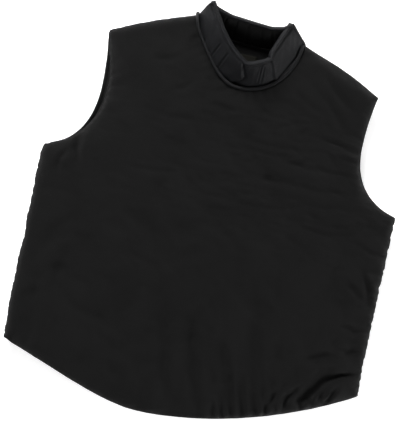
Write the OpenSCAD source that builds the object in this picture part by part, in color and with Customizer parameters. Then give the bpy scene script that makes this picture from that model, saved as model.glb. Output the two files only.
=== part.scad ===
// Padded sleeveless chest protector, lying on its back with the front uppermost.
// +X is towards the wearer's left, +Y towards the collar, +Z up from the surface it lies on.

/* [Body] */
// Width of the vest across the chest, lying flat
chest_w = 594; // [480:1:720]
// Length from the lowest point of the hem to the neck point of the shoulder
body_len = 648; // [540:1:780]
// Height of the underarm corner above the lowest point of the hem
underarm_y = 396; // [320:1:420]
// Height of the hem's corner on the wearer's right
hem_rise_right = 74; // [50:1:110]
// Height of the hem's corner on the wearer's left
hem_rise_left = 98; // [50:1:120]
// Half of the width between the two armholes at their narrowest
armhole_in = 214; // [175:1:235]
// Distance of the shoulder tip from the middle
shoulder_tip = 228; // [190:1:260]
// Fall of the shoulder line from the neck point to the tip
shoulder_drop = 54; // [35:1:80]
// How far the shoulders lie askew, as a slope
lie_skew = 0.045; // [0:0.005:0.08]

/* [Layers] */
// Outer fabric with its quilting allowance
shell_t = 1; // [0.6:0.1:2]
// Foam of the front, the back and the side
pad_t = 9; // [5:0.5:14]
// Lining fabric
lining_t = 1; // [0.6:0.1:2]
// Space between the front and the back as the vest lies flat
cavity_h = 12; // [10:0.5:30]
// Width of the tape that binds every free edge
binding_w = 4; // [3:0.5:8]

/* [Neck and collar] */
// Width of the neck opening at the shoulder
neck_w = 178; // [150:1:200]
// Depth of the front neckline below the neck point
front_neck_drop = 96; // [70:1:120]
// Depth of the back neckline below the neck point
back_neck_drop = 18; // [8:1:30]
// Height of the collar along its slope
collar_h = 45; // [30:1:60]
// Width of the flattened collar along its top edge
collar_top_w = 124; // [100:1:145]
// Lean of the collar away from the vertical, towards the head
collar_lean = 37; // [20:1:50]
// Foam in the collar
collar_pad_t = 7; // [4:0.5:8]
// Number of quilted foam sections in the front of the collar
front_sections = 7; // [4:1:10]
// Number of quilted foam sections in the back of the collar
back_sections = 4; // [2:1:6]
// Thickness of the corded piping round the neckline
piping_d = 4; // [2.5:0.5:6]

/* [Closures] */
// Distance of the front's fold line from the middle, towards the wearer's right
fold_offset = 92; // [91:1:140]
// Width of the two flaps that tuck under the front
flap_w = 50; // [35:1:70]
// Thickness of a flap
flap_t = 2; // [1:0.2:3]
// Thickness of a hook or loop tape
tape_t = 1.5; // [1:0.1:2.5]
// Width of a hook or loop tape
tape_w = 38; // [20:1:50]
// Free space between pieces that move past each other
clearance = 0.3; // [0.2:0.05:0.6]

/* [Hidden] */
FABRIC = [0.11, 0.11, 0.115];
LINING = [0.07, 0.07, 0.075];
FOAM = [0.35, 0.35, 0.36];
TRIM = [0.16, 0.16, 0.17];
COLLAR = [0.12, 0.12, 0.13];

half = chest_w / 2;
stack = shell_t + pad_t + lining_t;
z_front = stack + cavity_h;             // underside of the front's lining
z_top = z_front + stack;                // outer face of the front
wrap_r = z_top / 2;                     // radius of the sewn side and shoulder
inner_x = half - wrap_r;                // where the flat panels stop beside a sewn side
tip_y = body_len - shoulder_drop;
hem_low_x = -chest_w / 12;              // where the hem is lowest
back_armhole_right = armhole_in + 8;    // the back shows past the front's armhole
back_armhole_left = armhole_in - 2;
big = 3 * body_len;

// Point on a cubic curve, and a row of such points without the last one.
function bezier(a, b, c, d, t) =
  a * pow(1 - t, 3) + 3 * b * pow(1 - t, 2) * t + 3 * c * (1 - t) * t * t + d * t * t * t;
function curve(a, b, c, d, n) = [for (i = [0 : n - 1]) bezier(a, b, c, d, i / n)];
function unit(v) = v / norm(v);
function left_of(v) = [-v[1], v[0]];
function reversed(p) = [for (i = [len(p) - 1 : -1 : 0]) p[i]];
function smooth(t) = let (k = max(0, min(1, t))) k * k * (3 - 2 * k);

// The shoulders lie slightly askew to the body.
function lie(p) =
  [p[0], p[1] - lie_skew * p[0] * smooth((p[1] - underarm_y) / (tip_y - underarm_y - 30))];

// Armhole from the underarm corner up to the shoulder tip; side is -1 or 1.
function armhole(side, in_x) = let (
    y_in = underarm_y + (tip_y - underarm_y) * 0.56,
    rise = y_in - underarm_y
  ) [for (p = concat(
      curve([half, underarm_y], [half - 50, underarm_y + 12], [in_x, underarm_y + 0.43 * rise],
            [in_x, y_in], 16),
      curve([in_x, y_in], [in_x, y_in + 30], [shoulder_tip - 6, tip_y - 30],
            [shoulder_tip, tip_y], 8),
      [[shoulder_tip, tip_y]]
    )) lie([side * p[0], p[1]])];

// Hem from the wearer's right corner to the left one.
function hem() = let (slope = 0.35 * 110) concat(
  curve([-half, hem_rise_right], [110 - half, hem_rise_right - slope], [hem_low_x - 60, 0],
        [hem_low_x, 0], 12),
  curve([hem_low_x, 0], [hem_low_x + 110, 0], [0.64 * half, 0.37 * hem_rise_left],
        [half, hem_rise_left], 14),
  [[half, hem_rise_left]]);

// Neckline from the right neck point to the left one, at a share u of the way.
function neck_point(drop, u) =
  lie([-neck_w / 2 * cos(180 * u), body_len - drop * sin(180 * u)]);
function neckline(drop) = [for (i = [0 : 28]) neck_point(drop, i / 28)];

function outline(in_right, in_left, drop) = concat(
  hem(), armhole(1, in_left), reversed(neckline(drop)), reversed(armhole(-1, in_right)));

// A strip of width w along a row of points, on its left for a positive w.
function beside(p, w) = [for (i = [0 : len(p) - 1])
  p[i] + w * left_of(unit(p[min(i + 1, len(p) - 1)] - p[max(i - 1, 0)]))];
module strip(p, w) { polygon(concat(p, reversed(beside(p, w)))); }

function neck_corner(side) = lie([side * neck_w / 2, body_len]);
function tip(side) = lie([side * shoulder_tip, tip_y]);
function shoulder_dir(side) = unit(tip(side) - neck_corner(side));
function shoulder_out(side) = side * left_of(shoulder_dir(side));

module side_zone(side, depth) {
  translate([side > 0 ? half - depth : depth - half - big, -big / 2]) square([big, 2 * big]);
}
module shoulder_zone(side, depth) {
  n = neck_corner(side) - 20 * shoulder_dir(side);
  t = tip(side) + 60 * shoulder_dir(side);
  inward = -depth * shoulder_out(side);
  outward = 80 * shoulder_out(side);
  polygon([n + inward, t + inward, t + outward, n + outward]);
}
module hem_strip() { strip(hem(), binding_w); }
module armhole_strip(side, in_x) { strip(armhole(side, in_x), side * binding_w); }
module edge_strip() {
  difference() {
    union() {
      side_zone(1, binding_w);
      shoulder_zone(1, binding_w);
    }
    hem_strip();
    armhole_strip(1, armhole_in);
  }
}

module front_shape() {
  difference() {
    polygon(outline(armhole_in, armhole_in, front_neck_drop));
    side_zone(-1, wrap_r);
    shoulder_zone(-1, wrap_r);
  }
}
module back_shape() {
  difference() {
    polygon(outline(back_armhole_right, back_armhole_left, back_neck_drop));
    side_zone(-1, wrap_r);
    side_zone(1, wrap_r);
    shoulder_zone(-1, wrap_r);
    shoulder_zone(1, wrap_r);
  }
}
module front_strips() {
  hem_strip();
  armhole_strip(1, armhole_in);
  armhole_strip(-1, armhole_in);
  edge_strip();
}
module back_strips() {
  hem_strip();
  armhole_strip(1, back_armhole_left);
  armhole_strip(-1, back_armhole_right);
}
// The two sides of the fold line: -1 is sewn to the back, 1 swings open.
module fold_side(side) {
  translate([side > 0 ? clearance / 2 - fold_offset : -big - clearance / 2 - fold_offset, -big / 2])
    square([big, 2 * big]);
}
module layer(z, t) { translate([0, y_shift, z]) linear_extrude(t) children(); }
module front_layer(z, t, side) {
  layer(z, t) intersection() {
    difference() {
      front_shape();
      front_strips();
    }
    fold_side(side);
  }
}
module back_layer(z, t) {
  layer(z, t) difference() {
    back_shape();
    back_strips();
  }
}

// Half of a tube that bulges towards +X and runs along +Y.
module half_tube(r_out, r_in, length) {
  difference() {
    rotate([-90, 0, 0]) cylinder(h = length, r = r_out, $fn = 64);
    translate([0, -1, 0]) rotate([-90, 0, 0]) cylinder(h = length + 2, r = r_in, $fn = 64);
    translate([-r_out - 1, -1, -r_out - 1]) cube([r_out + 1, length + 2, 2 * r_out + 2]);
  }
}
// Places children with +X out of the shoulder line and +Y along it, depth inside the line.
module at_shoulder(side, depth, z) {
  out = shoulder_out(side);
  start = (side > 0 ? tip(side) : neck_corner(side)) - depth * out;
  translate([start[0], start[1] + y_shift, z]) rotate([0, 0, atan2(out[1], out[0])]) children();
}
neck_gap = 10;                          // a shoulder's seam stops this far short of the collar
shoulder_len = norm(tip(-1) - neck_corner(-1)) - neck_gap - binding_w;

module side_wrap(r_out, r_in) {
  translate([-inner_x, y_shift + underarm_y, wrap_r])
    rotate([0, 0, 180]) half_tube(r_out, r_in, underarm_y - hem_rise_right);
}
module shoulder_wrap(r_out, r_in) {
  at_shoulder(-1, wrap_r, wrap_r) translate([0, neck_gap, 0])
    half_tube(r_out, r_in, shoulder_len);
}

// Collar walls. Each stands on a neckline, leans towards the head and narrows to its top edge.
wall_t = shell_t + collar_pad_t + lining_t;
rise_z = collar_h * cos(collar_lean);
rise_y = collar_h * sin(collar_lean);
z_corner = 0.6 * z_top;                 // where the collar starts at the two shoulders
z_collar_front = z_top - 4;
z_collar_back = stack - 1;
binding_v = 1 - binding_w / collar_h;   // share of the height below the top binding
front_u = [0.02, 0.98];                 // the part of the neckline that the front wall takes
back_u = [0.24, 0.76];

function base_3d(drop, z_mid, u) = let (p = neck_point(drop, u), s = sin(180 * u))
  [p[0], p[1], z_corner + (z_mid - z_corner) * s];
function top_3d(drop, z_mid, u) = let (p = base_3d(drop, z_mid, u))
  [p[0] * collar_top_w / neck_w, p[1] + rise_y, p[2] + rise_z];
function wall_dir(drop, z_mid, u) = unit(top_3d(drop, z_mid, u) - base_3d(drop, z_mid, u));
function wall_normal(drop, z_mid, u) = unit(cross(wall_dir(drop, z_mid, u),
  base_3d(drop, z_mid, u + 0.01) - base_3d(drop, z_mid, u - 0.01)));
function wall_point(drop, z_mid, u, v, w) = let (b = base_3d(drop, z_mid, u))
  b + v * (top_3d(drop, z_mid, u) - b) + w * wall_normal(drop, z_mid, u);

// Cross-section of a wall between two heights and two depths.
function front_ring(u, vs, ws) = [for (c = [[0, 0], [1, 0], [1, 1], [0, 1]])
  wall_point(front_neck_drop, z_collar_front, u, vs[c[0]], ws[c[1]])];
function back_ring(u, vs, ws) = [for (c = [[0, 0], [1, 0], [1, 1], [0, 1]])
  wall_point(back_neck_drop, z_collar_back, u, vs[c[0]], ws[c[1]])];

// Stations along a wall: each quilted foam section has five, with a stitched channel on each side.
channel = 0.1;                          // a channel's share of a section
function section(us, count, i) = let (step = (us[1] - us[0]) / count)
  [for (k = [0 : 4]) us[0] + step * (i + channel / 2 + (1 - channel) * k / 4)];
function stations(us, count) =
  concat([us[0]], [for (i = [0 : count - 1]) each section(us, count, i)], [us[1]]);

// A solid through a row of cross-sections.
module loft(rings) {
  n = len(rings) - 1;
  pts = [for (r = rings) for (p = r) p + [0, y_shift, 0]];
  sides = [for (i = [0 : n - 1]) for (k = [0 : 3]) let (
      a = 4 * i + k, b = 4 * i + (k + 1) % 4, c = b + 4, d = a + 4)
    each (k < 2 ? [[a, b, c], [a, c, d]] : [[a, b, d], [b, c, d]])];
  polyhedron(pts, concat([[0, 3, 2], [0, 2, 1]], sides,
    [[4 * n, 4 * n + 1, 4 * n + 2], [4 * n, 4 * n + 2, 4 * n + 3]]));
}
module front_wall(us, vs, ws) { loft([for (u = us) front_ring(u, vs, ws)]); }
module back_wall(us, vs, ws) { loft([for (u = us) back_ring(u, vs, ws)]); }

// A round cord laid along the neckline, just outside the collar.
module neck_cord(drop, z, us) {
  n = 30;
  sides = 8;
  r = piping_d / 2;
  line = [for (i = [0 : n]) neck_point(drop, us[0] + (us[1] - us[0]) * i / n)];
  middle = beside(line, -r - clearance);
  pts = [for (i = [0 : n]) let (t = unit(line[min(i + 1, n)] - line[max(i - 1, 0)]), m = left_of(t))
    for (k = [0 : sides - 1])
      [middle[i][0] + r * cos(360 * k / sides) * m[0],
       middle[i][1] + r * cos(360 * k / sides) * m[1] + y_shift,
       z + r + r * sin(360 * k / sides)]];
  skin = [for (i = [0 : n - 1]) for (k = [0 : sides - 1]) let (
      a = sides * i + k, b = sides * i + (k + 1) % sides)
    each [[a, b, b + sides], [a, b + sides, a + sides]]];
  polyhedron(pts, concat([[for (k = [sides - 1 : -1 : 0]) k]], skin,
    [[for (k = [0 : sides - 1]) sides * n + k]]));
}

// The whole part is centred between the hem and the collar's top edge.
y_top = max([for (i = [0 : 20]) for (w = [0, wall_t])
  wall_point(front_neck_drop, z_collar_front, front_u[0] + (front_u[1] - front_u[0]) * i / 20, 1, w)[1]]);
y_shift = -y_top / 2;

// Flaps that tuck under the front: a sewn fold and a free part with a loop tape.
z_hook = z_front - tape_t;
z_loop = z_hook - clearance - tape_t;
z_flap = z_loop - flap_t;
z_fold_low = stack / 2 - flap_t / 2;
fold_r = (z_flap + flap_t - z_fold_low) / 2;
side_flap_y = [hem_rise_left + 14, underarm_y - 14];
shoulder_flap_y = [14, shoulder_len - 6];

module flap_fold(length) {
  translate([0, 0, z_fold_low + fold_r]) half_tube(fold_r, fold_r - flap_t, length);
}
module flap_free(length) {
  translate([-flap_w, 0, z_flap]) cube([flap_w - clearance, length, flap_t]);
}
module tape(length, z) {
  translate([-flap_w + 2, 3, z]) cube([tape_w, length - 6, tape_t]);
}
module at_side_flap() {
  translate([inner_x, side_flap_y[0] + y_shift, 0]) children();
}
module at_shoulder_flap() {
  at_shoulder(1, wrap_r, 0) translate([0, shoulder_flap_y[0], 0]) children();
}
side_flap_len = side_flap_y[1] - side_flap_y[0];
shoulder_flap_len = shoulder_flap_y[1] - shoulder_flap_y[0];

// The two ends of the back wall turn the corner and lie inside the ends of the front wall.
return_t = 1.2;
return_v = [0.15, 0.85];
w_hook = [wall_t, wall_t + tape_t];
w_loop = [w_hook[1] + clearance, w_hook[1] + clearance + tape_t];
w_return = [w_loop[1], w_loop[1] + return_t];

module back_outer_shell() { color(FABRIC) back_layer(0, shell_t); }
module back_foam_pad() { color(FOAM) back_layer(shell_t, pad_t); }
module back_lining() { color(LINING) back_layer(shell_t + pad_t, lining_t); }

module right_side_shell() { color(FABRIC) side_wrap(wrap_r, wrap_r - shell_t); }
module right_side_foam() { color(FOAM) side_wrap(wrap_r - shell_t, wrap_r - shell_t - pad_t); }
module right_side_lining() { color(LINING) side_wrap(wrap_r - stack + lining_t, wrap_r - stack); }
module right_shoulder_shell() { color(FABRIC) shoulder_wrap(wrap_r, wrap_r - shell_t); }
module right_shoulder_foam() { color(FOAM) shoulder_wrap(wrap_r - shell_t, wrap_r - shell_t - pad_t); }
module right_shoulder_lining() {
  color(LINING) shoulder_wrap(wrap_r - stack + lining_t, wrap_r - stack);
}

module front_right_shell() { color(FABRIC) front_layer(z_top - shell_t, shell_t, -1); }
module front_right_foam() { color(FOAM) front_layer(z_front + lining_t, pad_t, -1); }
module front_right_lining() { color(LINING) front_layer(z_front, lining_t, -1); }
module front_outer_shell() { color(FABRIC) front_layer(z_top - shell_t, shell_t, 1); }
module front_foam_pad() { color(FOAM) front_layer(z_front + lining_t, pad_t, 1); }
module front_lining() { color(LINING) front_layer(z_front, lining_t, 1); }

// Bindings close the edges of a panel over its whole thickness.
module front_binding(side) {
  color(TRIM) layer(z_front, stack) intersection() {
    front_shape();
    fold_side(side);
    children();
  }
}
module back_binding() {
  color(TRIM) layer(shell_t / 2, stack - shell_t / 2) intersection() {
    back_shape();
    children();
  }
}
module back_hem_binding() { back_binding() hem_strip(); }
module front_right_hem_binding() { front_binding(-1) hem_strip(); }
module front_hem_binding() { front_binding(1) hem_strip(); }
module right_armhole_back_binding() { back_binding() armhole_strip(-1, back_armhole_right); }
module right_armhole_front_binding() { front_binding(-1) armhole_strip(-1, armhole_in); }
module left_armhole_back_binding() { back_binding() armhole_strip(1, back_armhole_left); }
module left_armhole_front_binding() { front_binding(1) armhole_strip(1, armhole_in); }
module front_edge_binding() { front_binding(1) edge_strip(); }

module side_flap_fold() { color(FABRIC) at_side_flap() flap_fold(side_flap_len); }
module side_closure_flap() { color(FABRIC) at_side_flap() flap_free(side_flap_len); }
module side_loop_tape() { color(TRIM) at_side_flap() tape(side_flap_len, z_loop); }
module side_hook_tape() { color(TRIM) at_side_flap() tape(side_flap_len, z_hook); }
module shoulder_flap_fold() { color(FABRIC) at_shoulder_flap() flap_fold(shoulder_flap_len); }
module shoulder_closure_flap() { color(FABRIC) at_shoulder_flap() flap_free(shoulder_flap_len); }
module shoulder_loop_tape() { color(TRIM) at_shoulder_flap() tape(shoulder_flap_len, z_loop); }
module shoulder_hook_tape() { color(TRIM) at_shoulder_flap() tape(shoulder_flap_len, z_hook); }

end_binding_u = 0.012;                  // the binding at the front wall's free end
front_body_u = [front_u[0], front_u[1] - end_binding_u];
front_us = stations(front_body_u, front_sections);
back_us = stations(back_u, back_sections);
return_us = section(front_body_u, front_sections, front_sections - 1);
patch_us = [for (k = [1 : 3]) return_us[k]];
shell_w = [0, shell_t];
pad_w = [shell_t, shell_t + collar_pad_t];
lining_w = [shell_t + collar_pad_t, wall_t];
back_shell_w = [wall_t - shell_t, wall_t];
back_pad_w = [lining_t, wall_t - shell_t];
body_v = [0, binding_v];

module collar_front_shell() { color(COLLAR) front_wall(front_us, body_v, shell_w); }
module collar_front_foam() {
  color(FOAM) for (i = [0 : front_sections - 1])
    front_wall(section(front_body_u, front_sections, i), body_v, pad_w);
}
module collar_front_lining() { color(LINING) front_wall(front_us, body_v, lining_w); }
module collar_front_binding() {
  color(TRIM) {
    front_wall(concat(front_us, [front_u[1]]), [binding_v, 1], [0, wall_t]);
    front_wall([front_body_u[1], front_u[1]], body_v, [0, wall_t]);
  }
}
module collar_back_shell() { color(COLLAR) back_wall(back_us, body_v, back_shell_w); }
module collar_back_foam() {
  color(FOAM) for (i = [0 : back_sections - 1])
    back_wall(section(back_u, back_sections, i), body_v, back_pad_w);
}
module collar_back_lining() { color(LINING) back_wall(back_us, body_v, [0, lining_t]); }
module collar_back_binding() { color(TRIM) back_wall(back_us, [binding_v, 1], [0, wall_t]); }

module collar_left_tab() {
  color(COLLAR) loft(concat(
    [for (u = return_us) front_ring(u, return_v, w_return)],
    [back_ring(back_u[1], return_v, [return_t, 0])]));
}
module collar_right_return() {
  color(COLLAR) loft(concat(
    [back_ring(back_u[0], return_v, [return_t, 0])],
    [for (u = reversed(return_us)) front_ring(1 - u, return_v, w_return)]));
}
module collar_hook_patch() { color(TRIM) front_wall(patch_us, body_v, w_hook); }
module collar_loop_patch() { color(TRIM) front_wall(patch_us, return_v, w_loop); }

module front_neck_piping() { color(TRIM) neck_cord(front_neck_drop, z_top, [0.08, 0.92]); }
module back_neck_piping() { color(TRIM) neck_cord(back_neck_drop, stack, [0.16, 0.84]); }
module neck_label() {
  label = [42, 20, 0.6];
  color([0.2, 0.2, 0.2])
    translate([-label[0] / 2, y_shift + body_len - back_neck_drop - 2 * label[1], stack]) cube(label);
}

back_outer_shell();
back_foam_pad();
back_lining();
right_side_shell();
right_side_foam();
right_side_lining();
right_shoulder_shell();
right_shoulder_foam();
right_shoulder_lining();
front_right_shell();
front_right_foam();
front_right_lining();
front_outer_shell();
front_foam_pad();
front_lining();
back_hem_binding();
front_right_hem_binding();
front_hem_binding();
right_armhole_back_binding();
right_armhole_front_binding();
left_armhole_back_binding();
left_armhole_front_binding();
front_edge_binding();
side_flap_fold();
side_closure_flap();
side_loop_tape();
side_hook_tape();
shoulder_flap_fold();
shoulder_closure_flap();
shoulder_loop_tape();
shoulder_hook_tape();
collar_front_shell();
collar_front_foam();
collar_front_lining();
collar_front_binding();
collar_back_shell();
collar_back_foam();
collar_back_lining();
collar_back_binding();
collar_right_return();
collar_left_tab();
collar_hook_patch();
collar_loop_patch();
front_neck_piping();
back_neck_piping();
neck_label();
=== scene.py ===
import math

import bmesh
import bpy
import numpy as np
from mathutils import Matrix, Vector, noise
from mathutils.geometry import delaunay_2d_cdt


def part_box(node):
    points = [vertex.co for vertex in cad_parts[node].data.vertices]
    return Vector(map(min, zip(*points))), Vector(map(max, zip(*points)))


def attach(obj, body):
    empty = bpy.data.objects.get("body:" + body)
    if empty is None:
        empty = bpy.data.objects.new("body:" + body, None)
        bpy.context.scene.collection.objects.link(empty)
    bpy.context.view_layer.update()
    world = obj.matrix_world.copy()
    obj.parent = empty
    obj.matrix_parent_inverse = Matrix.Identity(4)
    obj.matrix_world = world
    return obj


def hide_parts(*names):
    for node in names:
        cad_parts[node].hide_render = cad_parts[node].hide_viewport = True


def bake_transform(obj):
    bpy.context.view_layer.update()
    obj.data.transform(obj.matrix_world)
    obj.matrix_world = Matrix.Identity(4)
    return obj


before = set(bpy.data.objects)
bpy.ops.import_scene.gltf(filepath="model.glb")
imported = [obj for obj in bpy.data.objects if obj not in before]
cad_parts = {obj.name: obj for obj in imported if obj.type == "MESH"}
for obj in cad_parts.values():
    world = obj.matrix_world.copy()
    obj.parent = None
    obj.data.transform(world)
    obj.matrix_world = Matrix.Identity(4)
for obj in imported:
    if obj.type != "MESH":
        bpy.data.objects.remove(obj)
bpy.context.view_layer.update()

MM = 0.001


def edge(node, axis, high):
    """Where a CAD node ends along an axis, in millimetres."""
    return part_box(node)[1 if high else 0]["xyz".index(axis)] / MM


# Sizes in millimetres, read from the frame
HALF = edge("front_edge_binding", "x", True)
HEM_Y = edge("back_hem_binding", "y", False)
UNDERARM_Y = edge("right_side_shell", "y", True)
HEM_RIGHT_Y = edge("right_side_shell", "y", False)
STACK = edge("back_lining", "z", True)
Z_FRONT = edge("front_lining", "z", False)
Z_TOP = edge("front_outer_shell", "z", True)
FLAP_Z = edge("side_closure_flap", "z", True)
WRAP_R = Z_TOP / 2
INNER_X = HALF - WRAP_R
CAVITY_R = WRAP_R - STACK

# Sizes that the frame's boxes don't give
BODY_LEN = 648
SHOULDER_DROP = 54
SHOULDER_TIP = 228
ARMHOLE_IN = 214
HEM_LEFT_RISE = 98
LIE_SKEW = 0.045
NECK_HALF = 89
FRONT_DROP = 96
BACK_DROP = 18
NECK_Y = HEM_Y + BODY_LEN
TIP_Y = NECK_Y - SHOULDER_DROP
FOLD_START = (-0.106, 0, 0)
FOLD_END = (-0.062, 0, 0)


# ---- small helpers
def smooth(t):
    """0 below 0, 1 above 1, and an even curve between."""
    t = np.clip(t, 0, 1)
    return t * t * (3 - 2 * t)


def lengths(line):
    """How far along a line each of its points is."""
    return np.r_[0, np.cumsum(np.linalg.norm(np.diff(line, axis=0), axis=1))]


def headings(line):
    """The direction of a line at each of its points."""
    d = np.gradient(line, axis=0)
    return d / np.linalg.norm(d, axis=1)[:, None]


def left_of(flat):
    """Unit vectors to the left of a flat line, at each of its points."""
    d = headings(flat)
    return np.stack([-d[:, 1], d[:, 0]], 1)


def bezier(a, b, c, d, count):
    """Points of a cubic curve, without the last one."""
    t = np.linspace(0, 1, count, endpoint=False)[:, None]
    a, b, c, d = (np.array(p, float) for p in (a, b, c, d))
    return a * (1 - t) ** 3 + 3 * b * (1 - t) ** 2 * t + 3 * c * (1 - t) * t**2 + d * t**3


def spaced(points, step, closed=False):
    """The same line with points about step apart."""
    p = np.array(points, float)
    if closed:
        p = np.vstack([p, p[:1]])
    out = resampled(p, p, step)
    return out[:-1] if closed else out


def resampled(values, line, step):
    """Values along a line, at points about step apart."""
    length = lengths(line)
    count = max(2, int(round(length[-1] / step)))
    s = np.linspace(0, length[-1], count + 1)
    return np.stack([np.interp(s, length, values[:, k]) for k in range(values.shape[1])], 1)


def perlin(points, scale, seed, octaves=1):
    """Smooth noise from -1 to 1 at 2-D points, scale in millimetres along X and Y."""
    out = np.zeros(len(points))
    sx, sy = (scale, scale) if np.isscalar(scale) else scale
    for k in range(octaves):
        f = 2.0**k
        level = seed * 7.31 + k
        out += np.array([noise.noise((x * f / sx, y * f / sy, level)) for x, y in points]) / f
    return out


def perlin_along(s, scale, seed, octaves=1):
    """Smooth noise from -1 to 1 at distances along a line."""
    return perlin(np.stack([s, np.zeros(len(s))], 1), scale, seed, octaves)


def to_line(points, line):
    """Signed distance to a line of points (positive on its left) and the share of its length."""
    line = np.array(line, float)
    best = np.full(len(points), 1e9)
    signed = np.zeros(len(points))
    share = np.zeros(len(points))
    seg = np.linalg.norm(np.diff(line, axis=0), axis=1)
    start = np.r_[0, np.cumsum(seg)]
    for k in range(len(line) - 1):
        a, d = line[k], (line[k + 1] - line[k]) / seg[k]
        rel = points - a
        t = np.clip(rel @ d, 0, seg[k])
        off = rel - t[:, None] * d
        dist = np.linalg.norm(off, axis=1)
        side = np.where(d[0] * rel[:, 1] - d[1] * rel[:, 0] >= 0, 1.0, -1.0)
        near = dist < best
        best[near] = dist[near]
        signed[near] = (dist * side)[near]
        share[near] = ((start[k] + t) / start[-1])[near]
    return signed, share


def distance(points, line):
    """Distance from each point to the nearest point of a dense line."""
    out = np.empty(len(points))
    for k in range(0, len(points), 2000):
        d = points[k : k + 2000, None, :] - line[None, :, :]
        out[k : k + 2000] = np.sqrt((d**2).sum(2)).min(1)
    return out


# ---- the vest's outlines
def lie(p):
    """The shoulders lie slightly askew to the body."""
    p = np.array(p, float).reshape(-1, 2)
    lift = smooth((p[:, 1] - UNDERARM_Y) / (TIP_Y - UNDERARM_Y - 30))
    return np.stack([p[:, 0], p[:, 1] - LIE_SKEW * p[:, 0] * lift], 1)


def hem():
    """From the wearer's right corner down to the lowest point and up to the left corner."""
    reach = 110
    left = HEM_Y + HEM_LEFT_RISE
    low = (-HALF / 6, HEM_Y)
    right_handle = (reach - HALF, HEM_RIGHT_Y - 0.35 * reach)
    left_handle = (0.64 * HALF, HEM_Y + 0.37 * HEM_LEFT_RISE)
    return np.vstack([
        bezier((-HALF, HEM_RIGHT_Y), right_handle, (low[0] - 60, HEM_Y), low, 40),
        bezier(low, (low[0] + reach, HEM_Y), left_handle, (HALF, left), 50),
        [(HALF, left)],
    ])


def armhole(side, inside):
    """From the underarm corner in to the narrowest place and out to the shoulder tip."""
    y_in = UNDERARM_Y + (TIP_Y - UNDERARM_Y) * 0.56
    low_handle = (inside, UNDERARM_Y + 0.43 * (y_in - UNDERARM_Y))
    tip_handle = (SHOULDER_TIP - 6, TIP_Y - 30)
    p = np.vstack([
        bezier((HALF, UNDERARM_Y), (HALF - 50, UNDERARM_Y + 12), low_handle, (inside, y_in), 40),
        bezier((inside, y_in), (inside, y_in + 30), tip_handle, (SHOULDER_TIP, TIP_Y), 24),
        [(SHOULDER_TIP, TIP_Y)],
    ])
    return lie(p * (side, 1))


def neckline(drop, count=60):
    """From the wearer's right neck point to the left one. A deep one cuts in less on the right."""
    u = np.linspace(0, 1, count + 1)
    across, down = np.cos(np.pi * u), np.sin(np.pi * u)
    p = np.stack([-NECK_HALF * across, NECK_Y - drop * down], 1)
    if drop > 50:
        inward = 13 * np.sin(np.pi * np.clip(u / 0.48, 0, 1)) ** 2
        p += inward[:, None] * np.stack([across * 0.75, down], 1)
    return lie(p)


def corner(side):
    """The point where a shoulder meets the neckline."""
    return lie([(side * NECK_HALF, NECK_Y)])[0]


def tip(side):
    """The outer point of a shoulder."""
    return lie([(side * SHOULDER_TIP, TIP_Y)])[0]


def shoulder_frame(side):
    """A point on the shoulder line, its direction away from the neck, and its outward normal."""
    d = tip(side) - corner(side)
    d /= np.linalg.norm(d)
    return corner(side), d, side * np.array((-d[1], d[0]))


def past_shoulder(points, side):
    """How far points lie past the line WRAP_R inside a shoulder's edge."""
    start, _, out = shoulder_frame(side)
    return (points - start) @ out + WRAP_R


# ---- flat cloth, cut and meshed
def outline_parts(in_right, in_left, drop):
    """The lines round a panel in order, each counter-clockwise."""
    neck, arm_l, arm_r = neckline(drop), armhole(1, in_left), armhole(-1, in_right)
    return {
        "hem": hem(), "left_side": np.array([hem()[-1], arm_l[0]]), "left_armhole": arm_l,
        "left_shoulder": np.array([arm_l[-1], neck[-1]]), "neck": neck[::-1],
        "right_shoulder": np.array([neck[0], arm_r[-1]]), "right_armhole": arm_r[::-1],
        "right_side": np.array([arm_r[0], hem()[0]]),
    }


def clipped(loop, inside):
    """A closed line cut by a half-plane: inside() is positive on the side that stays."""
    value = inside(loop)
    out = []
    for k in range(len(loop)):
        a, b, va, vb = loop[k - 1], loop[k], value[k - 1], value[k]
        if (va > 0) != (vb > 0):
            out.append(a + (b - a) * va / (va - vb))
        if vb > 0:
            out.append(b)
    return np.array(out)


def cut_cloth(loop, step):
    """Points and triangles that fill a closed line, and the indices of its edge in order."""
    loop = np.array(loop)
    low, high = loop.min(0), loop.max(0)
    rows = []
    for i, y in enumerate(np.arange(low[1], high[1], step * 0.866)):
        x = np.arange(low[0] + (i % 2) * step / 2, high[0], step)
        rows.append(np.stack([x, np.full(len(x), y)], 1))
    grid = np.vstack(rows)
    grid = grid[distance(grid, spaced(loop, step / 3, closed=True)) > step * 0.55]
    ring = [(k, (k + 1) % len(loop)) for k in range(len(loop))]
    points = [Vector(p) for p in np.vstack([loop, grid])]
    verts, _, faces, _, _, _ = delaunay_2d_cdt(points, ring, [], 1, 1e-5)
    p, tris = np.array([(v.x, v.y) for v in verts]), np.array(faces)
    return p, tris, edge_order(tris)


def sides_of(tris):
    """The two ends of every side of every triangle."""
    return np.vstack([tris[:, [0, 1]], tris[:, [1, 2]], tris[:, [2, 0]]])


def relaxed(values, tris, passes):
    """Values at the vertices, each moved to the mean of its neighbours."""
    pairs = sides_of(tris)
    count = np.bincount(pairs.ravel(), minlength=len(values))
    for _ in range(passes):
        total = np.bincount(pairs[:, 0], values[pairs[:, 1]], len(values))
        total += np.bincount(pairs[:, 1], values[pairs[:, 0]], len(values))
        values = 0.4 * values + 0.6 * total / count
    return values


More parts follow.
